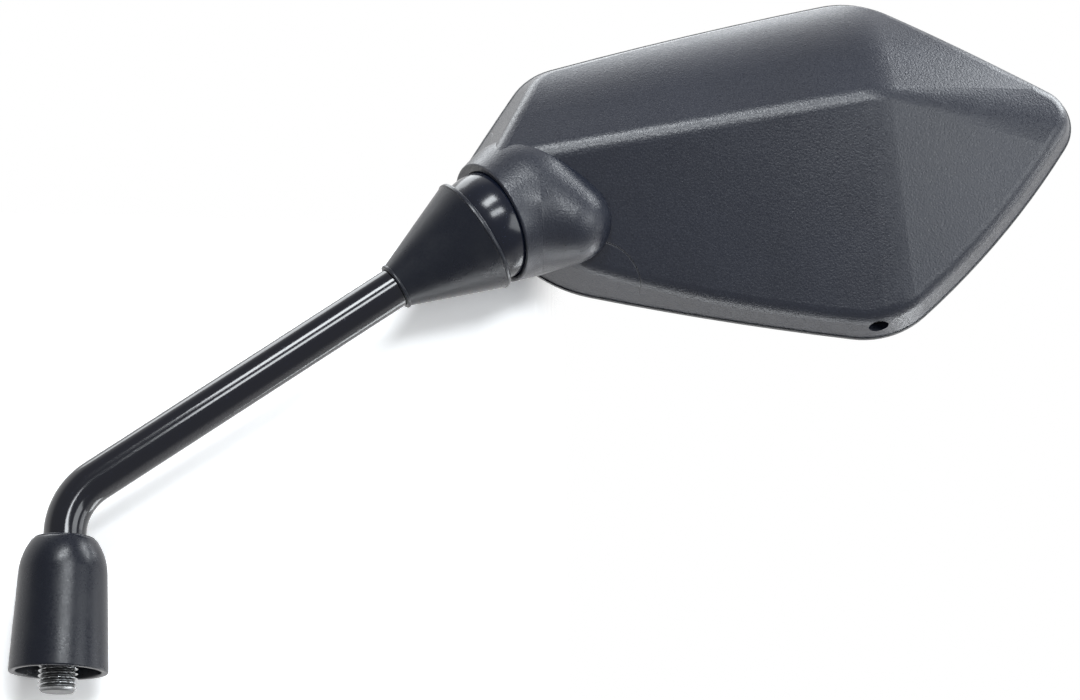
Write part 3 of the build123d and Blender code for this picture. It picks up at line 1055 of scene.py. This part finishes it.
@dataclass
class BallJoint(DressedSolids):
    """Ball, cup, washers, springs and screw of the joint."""

    nodes: Mapping[str, Slot] = field(
        default_factory=lambda: {
            "ball_base": Slot.BALL_PAINT,
            "ball_cup": Slot.BALL_PAINT,
            "pressure_cup": Slot.STEEL,
            "thrust_washer": Slot.STEEL,
            "disc_springs": Slot.STEEL,
            "spring_washer": Slot.STEEL,
            "screw_washer": Slot.STEEL,
            "tension_screw": Slot.STEEL,
            "tension_nut": Slot.STEEL,
        }
    )


@dataclass
class Head(DressedSolids):
    """Housing, front ring, glass and what carries the glass."""

    nodes: Mapping[str, Slot] = field(
        default_factory=lambda: {
            "housing": Slot.SHELL,
            "glass_bezel": Slot.BEZEL,
            "mirror_glass": Slot.MIRROR,
            "glass_cushion": Slot.FOAM,
            "backing_plate": Slot.PLATE,
            "plate_screws": Slot.STEEL,
        }
    )


@dataclass(frozen=True)
class Lamp:
    """Soft box lamp, placed by the camera's axes.

    Attributes:
        name: Name of the lamp.
        way: Direction from the aimed point: to the camera's right, up and towards the camera.
        distance: Distance from the aimed point.
        size: Length and width of its face.
        power: Power in watts.
        turn: Turn of its face from level, in degrees.
    """

    name: str
    way: Point
    distance: float
    size: Pair
    power: float
    turn: float = 0.0


@dataclass
class Studio:
    """White studio: camera of the photograph, soft lamps, a white sheet behind and a pale floor.

    Attributes:
        eye: Place of the camera.
        look: Direction that it looks along.
        lens: Focal length in millimetres.
        sensor: Width of the image in millimetres.
        clip: Nearest and farthest distance that the camera sees.
        aim: Point that the lamps are aimed at.
        lamps: The lamps.
        tint: Colour of their light.
        room: Strength of the even light of the room.
        room_turn: Y parts of a reflected direction between which the room turns white.
        sheet_depth: Place of the sheet on Y, at the height of the nut.
        sheet_lean: How far the sheet leans back for each metre of height.
        sheet_right: Place on X at which the sheet starts to end, clear of the turned head.
        sheet_top: Height at which it starts to end.
        sheet_fade: Length over which it ends.
        sheet_sides: Left and right end of its panel on X.
        sheet_ends: Lower and upper end of its panel.
        sheet_white: Half the share of the light that the sheet gives back.
        sheet_glow: Strength of the sheet's own white.
        floor_height: Height of the floor.
        floor_half: Half the side of the floor.
        floor_white: Half the share of the light that the floor gives back.
        floor_glow: Strength of the floor's own white.
    """

    eye: Point = (0.05628, -0.68761, -0.12077)
    look: Point = (0.0921, 0.9569, 0.2756)
    lens: float = 90.0
    sensor: float = 36.0
    clip: Pair = (0.01, 50.0)
    aim: Point = (0.14, 0.0, 0.1)
    lamps: Sequence[Lamp] = (
        Lamp("lamp_above", (-0.04, 0.77, 0.64), 0.9, (0.42, 0.20), 4.4, turn=45.0),
        Lamp("lamp_front", (0.22, 0.45, 0.86), 0.95, (0.44, 0.18), 3.2, turn=30.0),
        Lamp("lamp_right", (0.82, 0.10, 0.56), 1.0, (0.50, 0.50), 2.8),
        Lamp("lamp_far_right", (0.97, -0.12, -0.15), 1.2, (0.60, 0.60), 2.2),
        Lamp("lamp_high_right", (0.70, 0.62, -0.25), 1.2, (0.75, 0.58), 13.0),
        Lamp("lamp_high_left", (-0.24, 0.67, -0.64), 1.2, (1.15, 0.50), 6.6),
        Lamp("lamp_low_right", (0.62, -0.62, -0.49), 1.2, (0.45, 0.45), 2.8),
        Lamp("lamp_low", (0.06, -0.95, -0.12), 1.1, (0.90, 0.48), 3.0),
    )
    tint: Colour = (0.93, 0.97, 1.0)
    room: float = 0.36
    room_turn: Pair = (-0.3, 0.2)
    sheet_depth: float = 0.0155
    sheet_lean: float = 0.07
    sheet_right: float = 0.118
    sheet_top: float = 0.106
    sheet_fade: float = 0.014
    sheet_sides: Pair = (-1.2, 1.5)
    sheet_ends: Pair = (-0.8, 1.0)
    sheet_white: float = 0.75
    sheet_glow: float = 0.0
    floor_height: float = -0.019
    floor_half: float = 2.0
    floor_white: float = 0.5
    floor_glow: float = 0.55

    def axes(self) -> Tuple[Vector, Vector, Vector]:
        """Right, up and backward directions of the camera."""
        forward = Vector(self.look).normalized()
        right = forward.cross(Vector((0.0, 0.0, 1.0))).normalized()
        return right, right.cross(forward), -forward

    def camera(self) -> None:
        """Makes the camera at the photograph's viewing angle."""
        data = bpy.data.cameras.new("camera")
        data.lens = self.lens
        data.sensor_width = self.sensor
        data.sensor_fit = "HORIZONTAL"
        data.clip_start, data.clip_end = self.clip
        made = bpy.data.objects.new("camera", data)
        made.location = self.eye
        made.rotation_mode = "QUATERNION"
        made.rotation_quaternion = Vector(self.look).to_track_quat("-Z", "Y")
        bpy.context.scene.collection.objects.link(made)
        bpy.context.scene.camera = made

    def light(self, lamp: Lamp) -> None:
        """Hangs one lamp, turned to the aimed point.

        Args:
            lamp: The lamp.
        """
        right, up, near = self.axes()
        way = (right * lamp.way[0] + up * lamp.way[1] + near * lamp.way[2]).normalized()
        data = bpy.data.lights.new(lamp.name, "AREA")
        data.shape = "RECTANGLE"
        data.size, data.size_y = lamp.size
        data.energy = lamp.power
        data.color = self.tint
        made = bpy.data.objects.new(lamp.name, data)
        made.location = Vector(self.aim) + way * lamp.distance
        made.rotation_mode = "QUATERNION"
        face = Quaternion((0.0, 0.0, 1.0), radians(lamp.turn))
        made.rotation_quaternion = (-way).to_track_quat("-Z", "Y") @ face
        bpy.context.scene.collection.objects.link(made)

    def world(self) -> None:
        """Even light of the room; the camera sees plain white, and so do metal and glass.

        In reflections the strength rises from the room's to white as the Y part of the direction
        rises, so that they show the white behind the object and the dimmer room before it.
        """
        made = bpy.data.worlds.new("studio")
        bpy.context.scene.world = made
        graph = Graph(made)
        way = graph.node("TexCoord").outputs["Generated"]
        depth = graph.field(graph.node("SeparateXYZ", inputs={0: way}), "Y")
        path = graph.node("LightPath")
        seen, glossy, passed = (
            graph.field(path, f"Is {kind} Ray") for kind in ("Camera", "Glossy", "Transmission")
        )
        white = seen.at_least(glossy.at_least(passed) * depth.step(*self.room_turn))
        strength = self.room + white * (1.0 - self.room)
        back = graph.node(
            "Background", inputs={"Color": (1.0, 1.0, 1.0, 1.0), "Strength": strength}
        )
        graph.node("OutputWorld", inputs={"Surface": back.outputs[0]})

    def paper(self, name: str, white: float, glow: float, ends: bool) -> bpy.types.Material:
        """White paper that takes the object's shadow and shows from its front only.

        Its matte share counts twice, so that it is white in the lamps' plain light. Only the
        camera sees it, so it throws no light on the object.

        Args:
            name: Name of the material.
            white: Half the share of the light that it gives back.
            glow: Strength of its own white.
            ends: True where the paper ends at the sheet's right and top.

        Returns:
            The material.
        """
        made = bpy.data.materials.new(name)
        graph = Graph(made)
        seen = graph.field(graph.node("LightPath"), "Is Camera Ray")
        behind = graph.field(graph.node("NewGeometry"), "Backfacing")
        diffuse = graph.node("BsdfDiffuse", inputs={"Color": (white, white, white, 1.0)})
        matte = diffuse.outputs[0]
        own = graph.node("Emission", inputs={"Strength": glow})
        bright = graph.node("AddShader", inputs={0: matte, 1: matte})
        sheet = graph.node("AddShader", inputs={0: bright.outputs[0], 1: own.outputs[0]})
        hidden = behind.at_least(1.0 - seen)
        if ends:
            x, _, z = graph.axes()
            for place, end in ((x, self.sheet_right), (z, self.sheet_top)):
                hidden = hidden.at_least(place.step(end, end + self.sheet_fade))
        clear = graph.node("BsdfTransparent")
        both = graph.node(
            "MixShader", inputs={0: hidden, 1: sheet.outputs[0], 2: clear.outputs[0]}
        )
        graph.node("OutputMaterial", inputs={"Surface": both.outputs[0]})
        return made

    def panel(self, name: str, corners: np.ndarray, paper: bpy.types.Material) -> None:
        """Adds one flat panel of the stage.

        Args:
            name: Name of the panel.
            corners: Its four corners, in turn, seen from its front.
            paper: Its material.
        """
        mesh = bpy.data.meshes.new(name)
        mesh.from_pydata(corners.tolist(), [], [[0, 1, 2, 3]])
        mesh.materials.append(paper)
        made = bpy.data.objects.new(name, mesh)
        bpy.context.scene.collection.objects.link(made)

    def stage(self) -> None:
        """Sheet behind the object, whose depth grows with height, and a level floor."""
        side = np.array(self.sheet_sides)[[0, 1, 1, 0]]
        rise = np.array(self.sheet_ends)[[0, 0, 1, 1]]
        depth = self.sheet_depth + self.sheet_lean * rise
        self.panel(
            "white_sheet",
            np.stack([side, depth, rise], axis=1),
            self.paper("sheet_paper", self.sheet_white, self.sheet_glow, ends=True),
        )
        across = self.floor_half * np.array([-1.0, 1.0, 1.0, -1.0])
        away = self.floor_half * np.array([-1.0, -1.0, 1.0, 1.0])
        self.panel(
            "pale_floor",
            np.stack([across, away, across * 0 + self.floor_height], axis=1),
            self.paper("floor_paper", self.floor_white, self.floor_glow, ends=False),
        )

    def build(self) -> None:
        """Sets up camera, lamps, world and stage."""
        self.camera()
        for lamp in self.lamps:
            self.light(lamp)
        self.world()
        self.stage()
        bpy.context.scene.view_settings.view_transform = "Standard"


SHELL_LINES: Sequence[WitnessLine] = (
    WitnessLine(centre=(0.13793, 0.09553), radius=0.01278, middle=(0.72, 0.69), reach=0.82),
    WitnessLine(centre=(0.1040, 0.1437), radius=0.00677, middle=(0.97, -0.26), reach=0.83),
)

SHELL_VALLEYS: Sequence[SoftValley] = (
    SoftValley(
        place=0.13338, lean=(-0.043, 0.0984), reach=0.0055, slope=0.27, above=0.120, behind=0.004
    ),
)

FINISHES: Mapping[Slot, Finish] = {
    Slot.STEM_PAINT: GlossPaint("gloss_enamel", (0.002, 0.003, 0.008), 0.12, 0.68),
    Slot.ZINC: ZincPlate("bright_zinc", (0.50, 0.51, 0.52), 0.24),
    Slot.RUBBER: SoftRubber("black_rubber", (0.002, 0.004, 0.011), 0.30, 0.46),
    Slot.BALL_PAINT: GlossPaint("ball_enamel", (0.004, 0.006, 0.014), 0.18, 0.5),
    Slot.STEEL: BareSteel("joint_steel", (0.56, 0.57, 0.58), 0.32),
    Slot.SHELL: MouldedPlastic(
        "grained_shell",
        (0.0065, 0.0095, 0.0200),
        0.37,
        0.75,
        lines=SHELL_LINES,
        valleys=SHELL_VALLEYS,
    ),
    Slot.BEZEL: MouldedPlastic(
        "ring_plastic", (0.011, 0.012, 0.015), 0.38, 0.5, grain=0.0003, depth=0.00002
    ),
    Slot.MIRROR: Silvering("silvered_glass", (0.62, 0.65, 0.68), 0.012),
    Slot.FOAM: SoftRubber("foam_tape", (0.05, 0.05, 0.052), 0.85, relief=0.0002),
    Slot.PLATE: MouldedPlastic("plate_plastic", (0.03, 0.03, 0.032), 0.5, grain=0.0005),
}


def main() -> None:
    """Builds the mirror's looks and the studio round it."""
    logging.basicConfig(level=logging.INFO, format="%(name)s %(message)s")
    paints = Paints(FINISHES)
    stem = Stem()
    stem.build(paints)
    StudCover().build(paints)
    JointBoot().build(paints, stem)
    BallJoint().build(paints)
    Head().build(paints)
    Studio().build()


if __name__ == "__main__":
    main()
